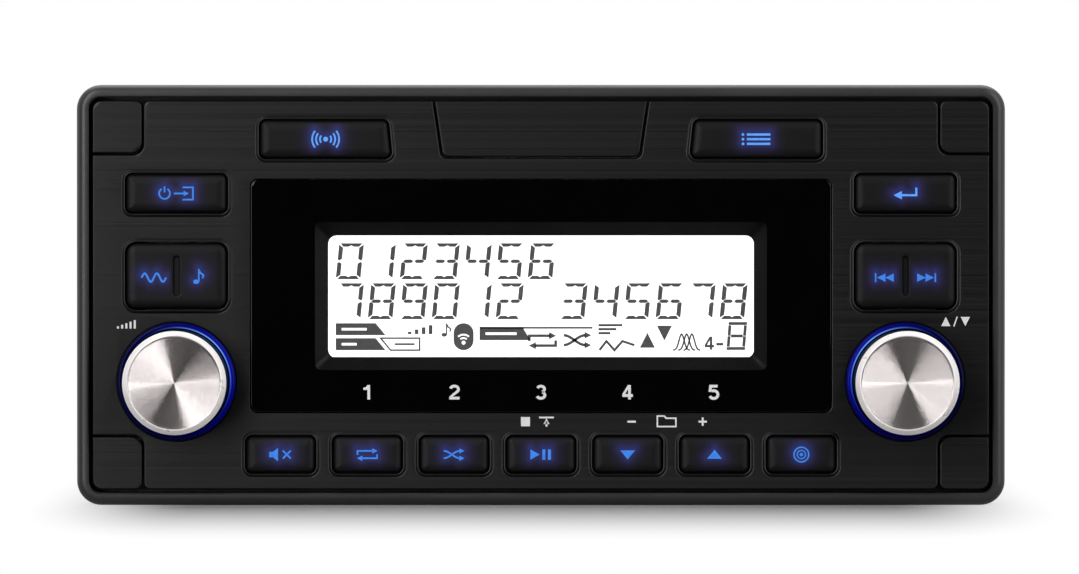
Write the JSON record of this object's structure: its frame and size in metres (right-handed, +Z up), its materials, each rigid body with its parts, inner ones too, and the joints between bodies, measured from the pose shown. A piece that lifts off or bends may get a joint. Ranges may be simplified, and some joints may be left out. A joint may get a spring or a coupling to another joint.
{
  "type": "marine stereo",
  "caption": "Flush-mount marine receiver face with a backlit display, lit turning knobs, push and rocker keys and a chassis with a finned heat sink.",
  "frame": {"origin": "centre of the mounting screw pattern, on the rear face of the gasket", "axes": "+X to the right seen from the front, +Y from the face to the rear, +Z up"},
  "size_m": [0.19, 0.117, 0.086],
  "materials": {
    "trim_black": "satin moulded",
    "panel_black": "fine horizontal brushing",
    "lens_clear": "clear, polished",
    "film_black": "black print",
    "bezel_black": "satin",
    "display_white": "backlit white",
    "lamp_white": "diffuse white",
    "ring_blue": "translucent, lit from behind",
    "key_black": "soft gloss",
    "spun_metal": "spun face, polished rim",
    "silicone_grey": "matt",
    "gasket_black": "matt",
    "board_green": "solder mask",
    "plain_steel": "plated",
    "chassis_black": "satin black paint",
    "sink_black": "black anodised",
    "brass": "turned",
    "chip_black": "moulded",
    "capacitor_blue": "sleeved",
    "ribbon_white": "plain",
    "fuse_amber": "translucent"
  },
  "bodies": {
    "receiver": {"front_housing": "trim_black", "front_panel": "panel_black", "name_tab": "panel_black", "display_lens": "lens_clear", "lens_film": "film_black", "display_frame": "bezel_black", "lcd_glass": "display_white", "lcd_backlight": "lamp_white", "light_ring_left": "ring_blue", "light_ring_right": "ring_blue", "keypad_mat": "silicone_grey", "control_board": "board_green", "key_lamps": "lamp_white", "encoder_left": "plain_steel", "encoder_right": "plain_steel", "mounting_gasket": "gasket_black", "panel_screws": "plain_steel", "board_screws": "plain_steel", "chassis_tray": "chassis_black", "top_cover": "chassis_black", "heat_sink": "sink_black", "rear_plate": "chassis_black", "chassis_screws": "plain_steel", "main_board": "board_green", "board_standoffs": "brass", "amplifier_chip": "chip_black", "chip_clamp": "plain_steel", "capacitors": "capacitor_blue", "power_choke": "chip_black", "tuner_can": "plain_steel", "wireless_module": "board_green", "ribbon_cable": "ribbon_white", "ribbon_sockets": "ribbon_white", "harness_grommet": "gasket_black", "antenna_socket": "plain_steel", "fuse_holder": "chip_black", "blade_fuse": "fuse_amber"},
    "scan_key_body": {"scan_key": "key_black"},
    "menu_key_body": {"menu_key": "key_black"},
    "source_key_body": {"source_key": "key_black"},
    "enter_key_body": {"enter_key": "key_black"},
    "mute_key_body": {"mute_key": "key_black"},
    "repeat_key_body": {"repeat_key": "key_black"},
    "shuffle_key_body": {"shuffle_key": "key_black"},
    "play_key_body": {"play_key": "key_black"},
    "down_key_body": {"down_key": "key_black"},
    "up_key_body": {"up_key": "key_black"},
    "sub_key_body": {"sub_key": "key_black"},
    "band_rocker_body": {"band_rocker": "key_black"},
    "track_rocker_body": {"track_rocker": "key_black"},
    "corner_cap_tl_body": {"corner_cap_tl": "panel_black"},
    "corner_cap_tr_body": {"corner_cap_tr": "panel_black"},
    "corner_cap_bl_body": {"corner_cap_bl": "panel_black"},
    "corner_cap_br_body": {"corner_cap_br": "panel_black"},
    "volume_dial": {"volume_knob": "spun_metal", "volume_core": "chip_black", "volume_shaft": "plain_steel"},
    "tuning_dial": {"tuning_knob": "spun_metal", "tuning_core": "chip_black", "tuning_shaft": "plain_steel"}
  },
  "joints": [
    {"name": "scan_press", "type": "slide", "parent": "receiver", "child": "scan_key_body", "axis": [0, 1, 0], "range_m": [0, 0.0008], "stiffness_N_per_m": 800},
    {"name": "menu_press", "type": "slide", "parent": "receiver", "child": "menu_key_body", "axis": [0, 1, 0], "range_m": [0, 0.0008], "stiffness_N_per_m": 800},
    {"name": "source_press", "type": "slide", "parent": "receiver", "child": "source_key_body", "axis": [0, 1, 0], "range_m": [0, 0.0008], "stiffness_N_per_m": 800},
    {"name": "enter_press", "type": "slide", "parent": "receiver", "child": "enter_key_body", "axis": [0, 1, 0], "range_m": [0, 0.0008], "stiffness_N_per_m": 800},
    {"name": "mute_press", "type": "slide", "parent": "receiver", "child": "mute_key_body", "axis": [0, 1, 0], "range_m": [0, 0.0008], "stiffness_N_per_m": 800},
    {"name": "repeat_press", "type": "slide", "parent": "receiver", "child": "repeat_key_body", "axis": [0, 1, 0], "range_m": [0, 0.0008], "stiffness_N_per_m": 800},
    {"name": "shuffle_press", "type": "slide", "parent": "receiver", "child": "shuffle_key_body", "axis": [0, 1, 0], "range_m": [0, 0.0008], "stiffness_N_per_m": 800},
    {"name": "play_press", "type": "slide", "parent": "receiver", "child": "play_key_body", "axis": [0, 1, 0], "range_m": [0, 0.0008], "stiffness_N_per_m": 800},
    {"name": "down_press", "type": "slide", "parent": "receiver", "child": "down_key_body", "axis": [0, 1, 0], "range_m": [0, 0.0008], "stiffness_N_per_m": 800},
    {"name": "up_press", "type": "slide", "parent": "receiver", "child": "up_key_body", "axis": [0, 1, 0], "range_m": [0, 0.0008], "stiffness_N_per_m": 800},
    {"name": "sub_press", "type": "slide", "parent": "receiver", "child": "sub_key_body", "axis": [0, 1, 0], "range_m": [0, 0.0008], "stiffness_N_per_m": 800},
    {"name": "band_rock", "type": "hinge", "parent": "receiver", "child": "band_rocker_body", "pos_m": [-0.07455, -0.0088, 0.0039], "axis": [0, 0, 1], "range_deg": [-2, 2], "stiffness_Nm_per_rad": 0.16},
    {"name": "track_rock", "type": "hinge", "parent": "receiver", "child": "track_rocker_body", "pos_m": [0.07455, -0.0088, 0.0039], "axis": [0, 0, 1], "range_deg": [-2, 2], "stiffness_Nm_per_rad": 0.16},
    {"name": "volume_turn", "type": "hinge", "parent": "receiver", "child": "volume_dial", "pos_m": [-0.07455, -0.018, -0.0177], "axis": [0, 1, 0], "continuous": true},
    {"name": "tuning_turn", "type": "hinge", "parent": "receiver", "child": "tuning_dial", "pos_m": [0.07455, -0.018, -0.0177], "axis": [0, 1, 0], "continuous": true},
    {"name": "corner_cap_tl_pull", "type": "slide", "parent": "receiver", "child": "corner_cap_tl_body", "axis": [0, -1, 0], "range_m": [0, 0.02]},
    {"name": "corner_cap_tr_pull", "type": "slide", "parent": "receiver", "child": "corner_cap_tr_body", "axis": [0, -1, 0], "range_m": [0, 0.02]},
    {"name": "corner_cap_bl_pull", "type": "slide", "parent": "receiver", "child": "corner_cap_bl_body", "axis": [0, -1, 0], "range_m": [0, 0.02]},
    {"name": "corner_cap_br_pull", "type": "slide", "parent": "receiver", "child": "corner_cap_br_body", "axis": [0, -1, 0], "range_m": [0, 0.02]}
  ]
}
